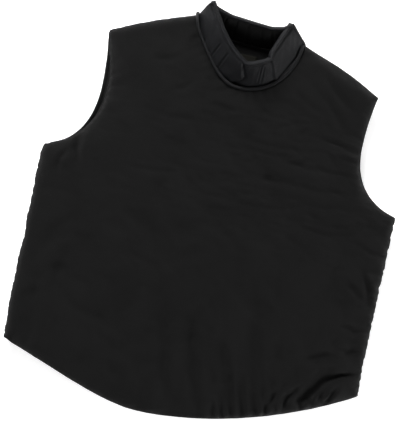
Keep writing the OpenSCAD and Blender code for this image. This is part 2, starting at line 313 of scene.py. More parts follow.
def settle(p, tris, loose, seed, frames=20):
    """Heights of a cloth larger than the pad under it and held at its edge, once it has buckled."""
    mesh = bpy.data.meshes.new("settling")
    start = 0.4 * perlin(p, 40, seed) + 0.3 * perlin(p, 18, seed + 1)
    mesh.from_pydata((np.c_[p, start] * MM).tolist(), [], tris.tolist())
    obj = bpy.data.objects.new("settling", mesh)
    bpy.context.scene.collection.objects.link(obj)
    held = obj.vertex_groups.new(name="held")
    held.add(edge_order(tris).tolist(), 1.0, "REPLACE")
    cloth = obj.modifiers.new("cloth", "CLOTH")
    values = cloth.settings
    values.quality = 6
    values.mass = 0.15
    values.tension_stiffness = values.compression_stiffness = 12
    values.shear_stiffness = 4
    values.bending_stiffness = 0.4
    values.shrink_min = -loose
    values.vertex_group_mass = "held"
    values.use_pressure = True
    values.uniform_pressure_force = 0.15
    values.effector_weights.gravity = 0
    cloth.collision_settings.use_collision = False
    cloth.point_cache.frame_end = frames
    scene = bpy.context.scene
    for f in range(1, frames + 1):
        scene.frame_set(f)
    shape = obj.evaluated_get(bpy.context.evaluated_depsgraph_get()).to_mesh()
    flat = np.empty(len(p) * 3)
    shape.vertices.foreach_get("co", flat)
    scene.frame_set(1)
    bpy.data.objects.remove(obj)
    bpy.data.meshes.remove(mesh)
    return flat.reshape(-1, 3)[:, 2] / MM


def halved(p, tris):
    """Every triangle split into four."""
    pairs = np.sort(sides_of(tris), axis=1)
    unique, where = np.unique(pairs, axis=0, return_inverse=True)
    where = where.ravel() + len(p)
    n = len(tris)
    ab, bc, ca = where[:n], where[n : 2 * n], where[2 * n :]
    a, b, c = tris.T
    new = np.vstack([np.stack(t, 1) for t in ((a, ab, ca), (b, bc, ab), (c, ca, bc), (ab, bc, ca))])
    return np.vstack([p, (p[unique[:, 0]] + p[unique[:, 1]]) / 2]), new


def edge_order(tris):
    """The outer edge's vertices in the triangles' own direction."""
    seen = set(map(tuple, sides_of(tris).tolist()))
    after = {a: b for a, b in seen if (b, a) not in seen}
    first = min(after)
    order, k = [first], after[first]
    while k != first:
        order.append(k)
        k = after[k]
    return np.array(order)


# ---- where cloth lies in space
def place(points, height, layer):
    """Flat cloth at a height above the lining, laid as the front or the back of the vest.

    Past the sewn side and shoulder on the wearer's right it rolls round to the seam half-way down.
    """
    out = np.empty((len(points), 3))
    out[:, :2] = points
    up = 1 if layer == "front" else -1
    out[:, 2] = (Z_FRONT if up > 0 else STACK) + up * height
    radius = CAVITY_R + height + np.zeros(len(points))
    past_side = -INNER_X - points[:, 0], np.array((-1.0, 0.0))
    past_top = past_shoulder(points, -1), shoulder_frame(-1)[2]
    for over, out_dir in (past_side, past_top):
        on = over > 0
        angle = over[on] / WRAP_R * math.pi / 2
        foot = points[on] - over[on][:, None] * out_dir
        out[on, :2] = foot + (radius[on] * np.sin(angle))[:, None] * out_dir
        out[on, 2] = WRAP_R + up * radius[on] * np.cos(angle)
    out[:, 0] -= ragged(points)
    out[:, 1] += shoulder_rise(points)
    return out


def ragged(points):
    """How far the wearer's left side is drawn in by the puckers of its edge."""
    out = np.zeros(len(points))
    on = points[:, 0] > HALF - 40
    y = points[on, 1]
    pull = np.abs(perlin_along(y, 11, 71, 2)) * 5.0
    low = smooth((-y + 40) / 200) * smooth((y + 240) / 60) * 2.0
    out[on] = (pull + low) * np.exp(-(HALF - points[on, 0]) / 9)
    return out


def shoulder_rise(points):
    """The shoulders bow up between neck and tip, most on the wearer's right."""
    x, y = points[:, 0], points[:, 1]
    right = smooth((-x - 40) / 45) * (1 - 0.75 * smooth((-x - 150) / 75))
    left = smooth((x - 90) / 90) * (1 - smooth((x - 190) / 45))
    return (7.5 * right + 5.0 * left) * smooth((y - 215) / 75)


def rolled(points):
    """0 where the cloth lies flat, 1 at the seam of a sewn side or shoulder."""
    beyond = np.maximum(-INNER_X - points[:, 0], past_shoulder(points, -1))
    return smooth(beyond / WRAP_R)


def mesh_object(name, verts, faces, cloth, materials, face_material=None):
    """A smooth-shaded object from points in millimetres. cloth: where each lies in the flat cloth."""
    mesh = bpy.data.meshes.new(name)
    mesh.from_pydata((np.asarray(verts) * MM).tolist(), [], [list(map(int, f)) for f in faces])
    mesh.update()
    obj = bpy.data.objects.new(name, mesh)
    bpy.context.scene.collection.objects.link(obj)
    layer = mesh.attributes.new("cloth", "FLOAT_VECTOR", "POINT")
    flat = np.zeros((len(verts), 3), np.float32)
    flat[:, : cloth.shape[1]] = cloth * MM
    layer.data.foreach_set("vector", flat.ravel())
    for m in materials:
        mesh.materials.append(m)
    if face_material is not None:
        mesh.polygons.foreach_set("material_index", np.array(face_material, np.int32))
    mesh.polygons.foreach_set("use_smooth", [True] * len(mesh.polygons))
    shape = bmesh.new()
    shape.from_mesh(mesh)
    bmesh.ops.recalc_face_normals(shape, faces=shape.faces)
    shape.to_mesh(mesh)
    shape.free()
    mesh.update()
    return obj


def two_sided(n, m):
    """Faces of a closed sheet: a grid of n by m points, the same grid again, and the rim between them."""
    def at(i, j, k):
        return k * n * m + i * m + j

    faces = []
    for i in range(n - 1):
        for j in range(m - 1):
            faces.append((at(i, j, 0), at(i + 1, j, 0), at(i + 1, j + 1, 0), at(i, j + 1, 0)))
            faces.append((at(i, j, 1), at(i, j + 1, 1), at(i + 1, j + 1, 1), at(i + 1, j, 1)))
    for i in range(n - 1):
        for j in (0, m - 1):
            faces.append((at(i, j, 0), at(i, j, 1), at(i + 1, j, 1), at(i + 1, j, 0)))
    for j in range(m - 1):
        for i in (0, n - 1):
            faces.append((at(i, j, 0), at(i, j + 1, 0), at(i, j + 1, 1), at(i, j, 1)))
    return faces


def closed_panel(name, p, tris, ring, low, high, layer, materials):
    """A closed padded piece between two heights over the same flat cloth."""
    n = len(p)
    verts = np.vstack([place(p, high, layer), place(p, low, layer)])
    nxt = np.roll(ring, -1)
    rim = np.stack([ring, ring + n, nxt + n, nxt], 1)
    faces = [*tris.tolist(), *(tris[:, ::-1] + n).tolist(), *rim.tolist()]
    if layer == "back":
        faces = [f[::-1] for f in faces]
    which = [0] * len(tris) + [len(materials) - 1] * len(tris) + [0] * len(rim)
    return mesh_object(name, verts, faces, np.vstack([p, p]), materials, which)


def tube(name, line, normals, half_w, half_h, sides, materials, exponent):
    """A strip of rounded section along a line in space. normals point across the strip's width."""
    line, normals = np.array(line, float), np.array(normals, float)
    ahead = headings(line)
    across = normals - (normals * ahead).sum(1)[:, None] * ahead
    across /= np.linalg.norm(across, axis=1)[:, None]
    up = np.cross(ahead, across)
    length = lengths(line)
    half_w = np.broadcast_to(half_w, len(line))
    half_h = np.broadcast_to(half_h, len(line))
    verts, cloth = [], []
    for k in range(sides):
        a = 2 * math.pi * k / sides
        c, s = math.cos(a), math.sin(a)
        c, s = math.copysign(abs(c) ** exponent, c), math.copysign(abs(s) ** exponent, s)
        verts.append(line + across * (half_w * c)[:, None] + up * (half_h * s)[:, None])
        cloth.append(np.stack([length, np.full(len(line), a * half_w.mean())], 1))
    verts = np.stack(verts, 1).reshape(-1, 3)
    cloth = np.stack(cloth, 1).reshape(-1, 2)
    return mesh_object(name, verts, ring_faces(len(line), sides), cloth, materials)


def ring_faces(n, sides, base=0):
    """Faces of a closed tube of n rings, whose points start at base."""
    faces = []
    for a in range(base, base + (n - 1) * sides, sides):
        for k in range(sides):
            after = (k + 1) % sides
            faces.append((a + k, a + after, a + sides + after, a + sides + k))
    faces.append(tuple(base + k for k in range(sides - 1, -1, -1)))
    faces.append(tuple(base + (n - 1) * sides + k for k in range(sides)))
    return faces


# ---- materials
def fabric(name, color, roughness, pitch, sheen, bump, weave="plain", gloss=0.1, mottle=0.25, lint=0.0,
           source="cloth"):
    """Woven cloth: threads at pitch metres apart, worn and darker patches, and fine lint."""
    m = bpy.data.materials.new(name)
    m.use_nodes = True
    nodes, links = m.node_tree.nodes, m.node_tree.links
    nodes.clear()

    def node(kind, **values):
        n = nodes.new(kind)
        for key, value in values.items():
            if key in n.inputs:
                n.inputs[key].default_value = value
            else:
                setattr(n, key, value)
        return n

    def math_node(op, *values):
        n = nodes.new("ShaderNodeMath")
        n.operation = op
        for i, v in enumerate(values):
            if isinstance(v, (int, float)):
                n.inputs[i].default_value = v
            else:
                links.new(v, n.inputs[i])
        return n.outputs[0]

    def add(a, b):
        return math_node("ADD", a, b)

    def times(a, b):
        return math_node("MULTIPLY", a, b)

    def clouds(**values):
        n = node("ShaderNodeTexNoise", **values)
        links.new(where, n.inputs["Vector"])
        return n.outputs["Fac"]

    out = node("ShaderNodeOutputMaterial")
    shader = node("ShaderNodeBsdfPrincipled")
    links.new(shader.outputs[0], out.inputs[0])
    shader.inputs["Sheen Weight"].default_value = sheen
    shader.inputs["Sheen Roughness"].default_value = 0.45
    shader.inputs["Specular IOR Level"].default_value = gloss

    if source == "cloth":
        where = node("ShaderNodeAttribute", attribute_name="cloth").outputs["Vector"]
    else:
        where = nodes.new("ShaderNodeTexCoord").outputs["Object"]
    axes = nodes.new("ShaderNodeSeparateXYZ")
    links.new(where, axes.inputs[0])
    x, y = axes.outputs[0], axes.outputs[1]
    shift = times(clouds(Scale=60.0, Detail=1.0), 2.5)
    turn = 2 * math.pi / pitch
    if weave == "twill":
        rib = math_node("SINE", add(add(times(x, turn), times(y, turn * 0.8)), shift))
        thread = math_node("SINE", times(y, turn * 2.1))
        height = add(times(rib, 0.7), times(thread, 0.3))
    else:
        warp = math_node("SINE", add(times(x, turn), shift))
        weft = math_node("SINE", add(times(y, turn), shift))
        height = times(add(times(warp, weft), times(add(warp, weft), 0.35)), 0.7)
    patches = clouds(Scale=14.0, Detail=3.0, Roughness=0.6)
    specks = clouds(Scale=900.0, Detail=2.0, Roughness=0.7)
    tone = add(times(patches, mottle * 2), 1 - mottle)
    tone = add(tone, times(math_node("SUBTRACT", specks, 0.5), 0.9))
    tone = add(tone, times(height, 0.14))
    if lint:
        dots = clouds(Scale=420.0, Detail=0.0)
        tone = add(tone, times(math_node("GREATER_THAN", dots, 0.73), lint))
    mix = nodes.new("ShaderNodeMix")
    mix.data_type = "RGBA"
    mix.inputs["A"].default_value = (0, 0, 0, 1)
    mix.inputs["B"].default_value = (*[2 * c for c in color], 1)
    mix.clamp_factor = True
    links.new(times(tone, 0.5), mix.inputs["Factor"])
    links.new(mix.outputs["Result"], shader.inputs["Base Color"])
    links.new(add(times(patches, 0.16), roughness - 0.08), shader.inputs["Roughness"])
    relief = node("ShaderNodeBump", Strength=bump, Distance=pitch * 0.5)
    links.new(height, relief.inputs["Height"])
    links.new(relief.outputs[0], shader.inputs["Normal"])
    return m


# ---- relief of the shell fabric
def fold(points, line, width, height, lip=0.55, one_sided=0.0):
    """A sewn or pressed fold along a line: a valley with a lip on each side, fading towards both ends."""
    d, share = to_line(points, line)
    fade = np.sin(np.pi * np.clip(share, 0.02, 0.98)) ** 0.6
    lips = bell(d - 1.7 * width, width) + (1 - one_sided) * bell(d + 1.7 * width, width)
    return height * fade * (lip * lips - bell(d, width))


def bell(d, width):
    """1 in the middle of a line, falling away on both sides."""
    return np.exp(-((d / width) ** 2))


def across_line(points, line, pitch, seed):
    """Gathers square to a line, with an uneven pitch, and each point's distance along the line."""
    s = to_line(points, line)[1] * lengths(line)[-1]
    wander = perlin_along(s, pitch * 3, seed) * 1.6
    return np.sin(2 * math.pi * s / pitch + wander * 3), s


def gathers(points, line, pitch, seed, height, reach):
    """Gathers beside a line, fading over a reach from it."""
    from_line = np.abs(to_line(points, line)[0])
    return across_line(points, line, pitch, seed)[0] * height * np.exp(-from_line / reach)


FRONT_FOLDS = [
    # line, width, height, one-sided
    ([(225, 146), (170, 160), (112, 164)], 5.0, 1.5, 0.4),
    ([(248, 84), (170, 76), (90, 80), (20, 75)], 5.5, 1.5, 0.5),
    ([(232, 60), (180, 50), (120, 54)], 4.5, 0.9, 0.3),
    ([(205, 112), (140, 108), (80, 116)], 4.5, 0.9, 0.3),
    ([(150, 136), (80, 132), (10, 140)], 4.0, 0.7, 0.0),
    ([(120, 36), (60, 30), (-20, 34)], 4.5, 0.8, 0.3),
    ([(238, 16), (190, 8), (140, 12)], 4.0, 0.8, 0.2),
    ([(60, 184), (0, 178), (-60, 182)], 4.0, 0.7, 0.0),
    ([(-40, 150), (-100, 146), (-150, 152)], 4.0, 0.6, 0.0),
    ([(-60, 60), (-120, 52), (-170, 56)], 4.5, 0.8, 0.3),
    ([(-190, 198), (-214, 194), (-236, 196)], 3.0, 0.9, 0.0),
    ([(-182, 178), (-210, 176), (-236, 181)], 3.0, 0.8, 0.0),
    ([(-238, 82), (-238, 60), (-230, 38)], 7.0, 2.2, 0.4),
    ([(-250, 60), (-262, 40), (-264, 18)], 5.0, 1.2, 0.3),
    ([(3, -146), (14, -220), (43, -318)], 9.0, 1.6, 0.3),
    ([(-38, -170), (-30, -240), (-8, -322)], 10.0, 1.1, 0.2),
    ([(52, -150), (66, -215), (92, -300)], 9.0, 1.2, 0.2),
    ([(96, -120), (112, -190), (130, -270)], 10.0, 0.9, 0.2),
    ([(-212, -70), (-226, -140), (-232, -210)], 9.0, 1.0, 0.2),
    ([(128, 268), (162, 236), (196, 214)], 6.0, 1.2, 0.3),
    ([(108, 250), (148, 222), (190, 176)], 6.0, 1.0, 0.3),
    ([(96, 226), (128, 206), (160, 200)], 5.0, 0.8, 0.2),
    ([(-92, 250), (-118, 236), (-150, 232)], 5.0, 0.8, 0.0),
    ([(-70, 214), (-86, 196), (-112, 186)], 5.0, 0.7, 0.0),
    ([(262, -40), (276, -62), (284, -90)], 5.0, 1.6, 0.0),
    ([(240, -60), (262, -78), (280, -84)], 5.0, 1.2, 0.0),
    ([(246, 6), (268, -6), (288, -8)], 4.0, 1.4, 0.0),
    ([(150, -300), (160, -272), (172, -246)], 4.0, 1.8, 0.0),
    ([(176, -292), (186, -262), (204, -236)], 4.0, 2.0, 0.2),
    ([(204, -240), (228, -212), (258, -192)], 6.0, 1.6, 0.4),
    ([(190, -206), (224, -186), (262, -180)], 6.0, 1.2, 0.3),
    ([(246, -130), (268, -136), (290, -130)], 4.5, 1.6, 0.0),
    ([(236, -168), (262, -172), (290, -164)], 4.5, 1.6, 0.0),
]
BACK_FOLDS = [
    [(-180, 120), (-60, 132), (70, 118), (190, 126)],
    [(-200, -40), (-80, -30), (60, -44)],
    [(-30, 60), (90, 48), (210, 58)],
    [(-120, -150), (0, -140), (110, -152)],
]
FOLD_GAIN = 2.1
CORNER_FOLD = [(203, -274), (212, -262), (223, -246), (240, -224), (262, -211), (292, -203)]


def creased(noise_value):
    """Noise with narrow valleys in place of round ones, as creased cloth has."""
    return 0.5 - 0.8 * bell(noise_value, 0.16) + 0.5 * noise_value


def front_relief(p, parts):
    """Heights of the front's folds and gathers above its even pad."""
    x, y = p[:, 0], p[:, 1]
    out = 2.8 * perlin(p, 95, 1, 2) + 1.0 * perlin(p, 32, 2, 2) + 0.30 * perlin(p, 10, 3, 2)
    chest = smooth((y + 90) / 150) * smooth((262 - y) / 90) * (0.35 + 0.65 * smooth((x + 120) / 260))
    tilted = np.stack([x, y + 0.04 * x], 1)
    out += chest * (2.6 * creased(perlin(tilted, (58, 14), 4, 2)) - 0.3)
    out += smooth((-40 - y) / 120) * 1.3 * perlin(p, (26, 90), 5, 2)
    for line, width, height, one_sided in FRONT_FOLDS:
        out += fold(p, line, width, height * FOLD_GAIN, one_sided=one_sided)

    # Sharp gathers in the hem's lower corner, faint ones in the rest of it
    wave, _ = across_line(p, parts["hem"], 19, 6)
    from_hem = np.abs(to_line(p, parts["hem"])[0])
    gathered = smooth((x - 40) / 60) * smooth((262 - x) / 40)
    out += np.abs(wave) ** 0.6 * np.sign(wave) * gathered * 3.6 * np.exp(-from_hem / 28)
    out += smooth((60 - x) / 80) * gathers(p, parts["hem"], 23, 7, 0.5, 22)

    # Puckers of the opening edges, armholes and neck seam
    wave, s = across_line(p, parts["left_side"], 12.5, 8)
    from_side = np.abs(to_line(p, parts["left_side"])[0])
    out += wave * (0.6 + 0.6 * perlin_along(s, 60, 9)) * 4.2 * np.exp(-from_side / 10)
    out += gathers(p, parts["left_side"], 31, 10, 1.9, 22)
    out += gathers(p, parts["left_shoulder"], 13, 11, 1.2, 9)
    for k, name in enumerate(("left_armhole", "right_armhole")):
        d = np.abs(to_line(p, parts[name])[0])
        out += gathers(p, parts[name], 17 + 3 * k, 12 + k, 0.8, 12) * smooth((d - 1) / 6)
    d = np.abs(to_line(p, parts["neck"])[0])
    out += across_line(p, parts["neck"], 15, 15)[0] * 0.9 * bell(d - 9, 9)
    return out + corner_fold(p)


def corner_fold(p):
    """The deep fold across the lower corner of the opening side, running out at the edge."""
    d, share = to_line(p, CORNER_FOLD)
    fade = smooth(share / 0.16) * (1 - 0.75 * smooth((share - 0.7) / 0.3))
    wide = 4 + 8 * smooth(1 - np.abs(share - 0.3) / 0.6)
    valley = bell(d, np.where(d > 0, wide, 0.6 * wide))
    out = fade * (4.5 * bell(d + 12, 9) + 4.5 * bell(d - 18, 9) - 10.0 * valley)
    out += fold(p, [(226, -268), (238, -251), (248, -232)], 3.5, 5.0, 0.3)
    return out + fold(p, [(246, -262), (254, -244), (264, -226)], 3.5, 4.4, 0.3)


def back_relief(p, parts):
    """Heights of the back's folds. The back lies pressed flat under the front."""
    out = 0.9 * perlin(p, 110, 21, 2) + 0.35 * perlin(p, 34, 22, 2) + 0.12 * perlin(p, 10, 23)
    out += gathers(p, parts["hem"], 24, 24, 0.9, 20)
    for line in BACK_FOLDS:
        out += fold(p, line, 7.0, 1.2)
    return out - 0.9


PAD_T = Z_TOP - Z_FRONT       # a panel's full thickness
LINING_T = 0.8                # the lining of a panel
EDGE_T = 3.0                  # a panel's thickness at a bound edge
EDGE_R = 17                   # how far from the edge the pad has its full thickness
PROUD = 3.2                   # the most that the front's folds stand above the pad
THINNEST = 1.6                # the least thickness that a fold leaves
CRUMPLE = 0.6                 # the share of the simulated crumple that is kept
CRUMPLE_MAX = 1.6             # and its greatest height


def rounded(d, radius):
    """A quarter circle: 0 at the edge, 1 from a radius inwards."""
    return np.sqrt(np.clip(1 - (1 - np.clip(d / radius, 0, 1)) ** 2, 0, 1))


def all_round(parts, step):
    """The parts of an outline as one closed line."""
    return np.vstack([spaced(v, step)[:-1] for v in parts.values()])


def lift_to_seam(from_edge, p):
    """How far a thin edge rises towards the middle of the stack where it rolls to a sewn seam."""
    return 0.85 * (PAD_T - EDGE_T) * (1 - rounded(from_edge, EDGE_R)) * rolled(p)


def panel(name, loop, parts, bound, sewn, layer, relief, droop, materials, step=8.4):
    """A padded half of the vest: thin at its bound edges, grooved at its sewn seams."""
    p, tris, _ = cut_cloth(loop, step)
    crumple = np.zeros(len(p))
    crumple = settle(p, tris, 0.02, 1)
    crumple = np.clip(CRUMPLE * (crumple - relaxed(crumple, tris, 60)), -CRUMPLE_MAX, CRUMPLE_MAX)
    values, tris = halved(np.c_[p, crumple], tris)
    p, crumple = values[:, :2], relaxed(values[:, 2], tris, 2)
    d = distance(p, np.vstack([spaced(line, 2) for line in bound]))
    sag = droop * (1 - rounded(d, 2 * EDGE_R))
    lift = lift_to_seam(d, p)
    low = LINING_T + 0.1 - sag + lift
    high = EDGE_T + (PAD_T - EDGE_T) * rounded(d, EDGE_R) - sag + lift
    high = high + (relief(p, parts) + crumple) * smooth(d / 7)
    for line in sewn:
        high -= 1.8 * bell(to_line(p, line)[0], 3.2)
    over = np.maximum(high - PAD_T, 0)
    high = np.where(over > 0, PAD_T + PROUD * np.tanh(over / PROUD), high)
    if layer == "back":
        high = np.minimum(high, PAD_T)
    high = np.maximum(high, low + THINNEST)
    drawn_in = np.abs(perlin(p, 11, 31) * 2.0 * np.exp(-d / 9)) * (np.abs(p[:, 0]) > 150)
    placed = np.stack([p[:, 0] - np.sign(p[:, 0]) * drawn_in, p[:, 1]], 1)
    return closed_panel(name, placed, tris, edge_order(tris), low, high, layer, materials)


def lining(name, loop, layer, bound, droop, material, step=9):
    """A panel's lining, with its flat size and area."""
    p, tris, ring = cut_cloth(loop, step)
    d = distance(p, np.vstack([spaced(line, 2) for line in bound]))
    low = lift_to_seam(d, p) - droop * (1 - rounded(d, 2 * EDGE_R))
    obj = closed_panel(name, p, tris, ring, low, low + LINING_T, layer, [material])
    area = np.abs(np.cross(p[tris[:, 1]] - p[tris[:, 0]], p[tris[:, 2]] - p[tris[:, 0]])).sum() / 2
    span = (p.max(0) - p.min(0)) * MM
    return obj, tuple(map(float, span)), float(area * MM * MM)


def strip_on(name, line, inset, height, layer, half_w, half_h, material, seed,
             step=4, wobble=0.12, sides=10):
    """A bound edge: a strip of rounded section beside a flat line, at the height where the cloth lies."""
    flat = spaced(line, step)
    inward = left_of(flat)
    middle = flat + inward * inset
    side = place(middle + inward, height, layer) - place(middle - inward, height, layer)
    height = height + lift_to_seam(abs(inset), middle)
    swell = 1 + wobble * perlin_along(np.arange(len(flat)) * step, 15, 40 + seed)
    return tube(name, place(middle, height, layer), side, half_w * swell, half_h * swell, sides,
                [material], 0.75)


def stitches(name, line, across, material, pitch=4.2, length=2.8, width=0.35, rise=0.3):
    """A row of thread stitches along a line in space. across points over the cloth, square to the line."""
    line = spaced(line, pitch)
    ahead = headings(line)
    across = np.resize(across, (len(line), 3))
    across = across / np.linalg.norm(across, axis=1)[:, None]
    up = np.cross(ahead, across)
    up *= np.sign(up[:, 2:3] + 1e-9)
    section = [(-1, 0), (-0.6, 0.8), (0.6, 0.8), (1, 0), (0, -0.8)]
    taper = ((-0.5, 0.35), (-0.32, 1), (0.32, 1), (0.5, 0.35))
    verts, faces = [], []
    for c, a, s, u in zip(line, ahead, across, up):
        faces += ring_faces(len(taper), len(section), len(verts))
        for t, size in taper:
            for x, z in section:
                verts.append(c + a * length * t + s * width * size * x + u * rise * size * z)
    return mesh_object(name, verts, faces, np.array(verts)[:, :2], [material])


# ---- the collar
# Feet of the front band's outer face, from the wearer's right corner round to the left one, each with the
# point of the top edge above it
FRONT_BAND = [
    ((-91, 315, 18), (-71, 340, 56)), ((-77, 287, 29), (-57, 317, 60)), ((-63, 263, 31), (-44, 296, 63)),
    ((-45, 240, 32), (-27, 275, 64)), ((-28, 229, 31), (-10, 260, 65)), ((-9, 219, 28), (5, 250, 65)),
    ((4, 215, 27.5), (13, 252, 64)), ((18, 215, 27), (24, 256, 64)), ((38, 223, 30), (36, 262, 64)),
    ((57, 234, 30), (44, 268, 63)), ((67, 246, 30), (43, 280, 62)), ((83, 272, 30), (53, 305, 60)),
    ((96, 303, 24), (64, 331, 57)),
]
BACK_BAND = [
    ((-91, 315, 16), (-71, 340, 56)), ((-70, 305, 11), (-56, 332, 51)), ((-40, 298, 11), (-34, 326, 48)),
    ((0, 295, 10), (-1, 323, 47)), ((40, 294, 11), (33, 320, 48)), ((70, 297, 9), (52, 323, 52)),
    ((96, 303, 6), (64, 331, 57)),
]
BAND_T = 7.5                  # the collar's thickness
BAND_H = 46                   # and about its height along the slope


class Band:
    """A wall between two lines in space, with a face on each side."""

    def __init__(self, pairs, corners, step=1.5, soften=5):
        low, high = (np.array([pair[k] for pair in pairs], float) for k in (0, 1))
        length = lengths((low + high) / 2)
        self.total = length[-1]
        self.s = np.linspace(0, self.total, int(self.total / step) + 1)
        self.low = self._curve(low, length, corners, soften)
        self.high = self._curve(high, length, corners, soften)
        self.at = length
        up = self.high - self.low
        ahead = np.gradient((self.low + self.high) / 2, axis=0)
        normal = np.cross(ahead, up)
        normal /= np.linalg.norm(normal, axis=1)[:, None]
        self.normal = self._blur(normal, 5)

    def _curve(self, points, length, corners, soften):
        """Smooth along the line, but sharper at the corners."""
        straight = np.stack([np.interp(self.s, length, points[:, k]) for k in range(3)], 1)
        wide, tight = self._blur(straight, soften * 2 + 1), self._blur(straight, 3)
        sharp = np.zeros(len(self.s))
        for c in corners:
            sharp = np.maximum(sharp, np.exp(-(((self.s - length[c]) / 9) ** 2)))
        sharp = sharp[:, None]
        return wide * (1 - sharp) + tight * sharp

    @staticmethod
    def _blur(v, window):
        pad = window // 2
        ext = np.vstack([2 * v[0] - v[pad:0:-1], v, 2 * v[-1] - v[-2 : -pad - 2 : -1]])
        kernel = np.hanning(window + 2)[1:-1]
        kernel /= kernel.sum()
        return np.stack([np.convolve(ext[:, k], kernel, "valid") for k in range(v.shape[1])], 1)

    def point(self, i, v, w):
        """Station i, share v of the height, depth w behind the outer face."""
        return self.low[i] + v * (self.high[i] - self.low[i]) + w * self.normal[i]


def band_piece(name, band, first, last, v_range, outer, inner, materials, rows=26):
    """A closed piece of a band between two stations. outer and inner give its faces' depth at (s, v)."""
    index = np.arange(first, last + 1)
    s, v = np.meshgrid(band.s[index], np.linspace(*v_range, rows), indexing="ij")
    low, high, normal = band.low[index][:, None], band.high[index][:, None], band.normal[index][:, None]
    middle = low + v[..., None] * (high - low)
    verts = [middle + depth(s.ravel(), v.ravel()).reshape(s.shape)[..., None] * normal
             for depth in (outer, inner)]
    cloth = np.stack([s.ravel(), v.ravel() * BAND_H], 1)
    faces = two_sided(*s.shape)
    which = [0, len(materials) - 1] * ((s.shape[0] - 1) * (s.shape[1] - 1))
    which += [0] * (len(faces) - len(which))
    return mesh_object(name, np.vstack([g.reshape(-1, 3) for g in verts]), faces, np.vstack([cloth, cloth]),
                       materials, which)


# ---- finishes
SHELL = fabric("shell_cloth", (0.0085, 0.0085, 0.0085), 0.6, 0.0011, 0.02, 0.6, "twill", 0.07,
               mottle=0.3, lint=0.6)
COLLAR_CLOTH = fabric("collar_cloth", (0.0066, 0.0069, 0.0080), 0.46, 0.0008, 0.02, 0.35, gloss=0.13)
LINING = fabric("lining_cloth", (0.0125, 0.0125, 0.0125), 0.6, 0.0007, 0.01, 0.3, gloss=0.05)
FLAP_CLOTH = fabric("flap_cloth", (0.0045, 0.0045, 0.0045), 0.66, 0.0010, 0.02, 0.4, gloss=0.09)
TAPE = fabric("binding_tape", (0.0050, 0.0050, 0.0051), 0.58, 0.0016, 0.03, 0.6, "twill", gloss=0.12)
PIPING = fabric("piping_cloth", (0.0050, 0.0052, 0.0060), 0.46, 0.0008, 0.02, 0.35, gloss=0.14)
THREAD = fabric("thread", (0.008, 0.008, 0.008), 0.5, 0.0004, 0.03, 0.3)
LABEL = fabric("label_cloth", (0.014, 0.0135, 0.010), 0.6, 0.0005, 0.03, 0.3)
HOOKS = fabric("hook_tape", (0.005, 0.005, 0.005), 0.5, 0.0018, 0.04, 1.0, source="object")

FRONT_ALL = ("vest_back", "front_flap", dict(start=FOLD_START, end=FOLD_END))


def keep(obj, body=None, replaces=(), blend=None):
    """The last step for a piece: what it stands for and how it moves."""
    if replaces:
        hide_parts(*replaces)
    if blend:
        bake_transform(obj)
    else:
        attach(obj, body)
    return obj


# ---- front and back panels
front = outline_parts(ARMHOLE_IN - 6, ARMHOLE_IN + 5, FRONT_DROP)
back = outline_parts(ARMHOLE_IN + 5, ARMHOLE_IN - 2, BACK_DROP)
front_loop = all_round(front, 5)
back_loop = clipped(all_round(back, 5), lambda q: INNER_X - q[:, 0])
back_loop = clipped(back_loop, lambda q: -past_shoulder(q, 1))
back_edge_x = np.array([(INNER_X, front["left_side"][0][1]), (INNER_X, UNDERARM_Y)])
start, _, outward = shoulder_frame(1)
back_shoulder = np.array([start - outward * WRAP_R, tip(1) - outward * WRAP_R])

FRONT_BOUND = [front[k] for k in ("hem", "left_side", "left_armhole", "left_shoulder", "right_armhole")]
BACK_BOUND = [back["hem"], back["left_armhole"], back["right_armhole"], back_edge_x, back_shoulder]
SEWN = [front["right_side"], front["right_shoulder"]]
FRONT_DROOP, BACK_DROOP = 2.5, 3.0

piece = panel("front_panel", front_loop, front, FRONT_BOUND, SEWN + [front["neck"]], "front", front_relief,
              FRONT_DROOP, [SHELL, LINING])
keep(piece, blend=FRONT_ALL, replaces=(
    "front_outer_shell", "front_foam_pad", "front_right_shell", "front_right_foam",
    "right_side_shell", "right_side_foam", "right_shoulder_shell", "right_shoulder_foam"))

piece = panel("back_panel", back_loop, back, BACK_BOUND, SEWN + [back["neck"]], "back", back_relief,
              BACK_DROOP, [SHELL, LINING])
keep(piece, "vest_back", replaces=("back_outer_shell", "back_foam_pad"))

piece, span, area = lining("front_lining_cloth", front_loop, "front", FRONT_BOUND, FRONT_DROOP, LINING)
keep(piece, blend=FRONT_ALL,
     replaces=("front_lining", "front_right_lining", "right_side_lining", "right_shoulder_lining"))

piece, span, area = lining("back_lining_cloth", back_loop, "back", BACK_BOUND, BACK_DROOP, LINING)
keep(piece, "vest_back", replaces=("back_lining",))

# ---- bound edges: the middle of each edge's thickness, and the half sizes of its tape
EDGE_H = EDGE_T / 2
HEM_TAPE = (2.9, 2.1)
OPENING_TAPE = (2.3, 1.9)


def bound_edge(name, line, layer, nodes, body, seed, half=HEM_TAPE, inset=1.6):
    """A tape round an edge, with its row of stitches. Without a body it crosses the front's fold."""
    blend = None if body else FRONT_ALL
    level = EDGE_H - (FRONT_DROOP if layer == "front" else BACK_DROOP)
    obj = strip_on(name, line, inset, level, layer, *half, TAPE, seed)
    keep(obj, body, replaces=nodes, blend=blend)
    flat = spaced(line, 2)
    inward = left_of(flat)
    sewn_at = flat + inward * (inset + half[0] * 0.55)
    across = place(sewn_at + inward, 0, layer) - place(sewn_at, 0, layer)
    thread = stitches(name + "_stitches", place(sewn_at, level + half[1] * 0.92, layer),
                      resampled(across, flat, 4.2), THREAD)
    keep(thread, body, blend=blend)


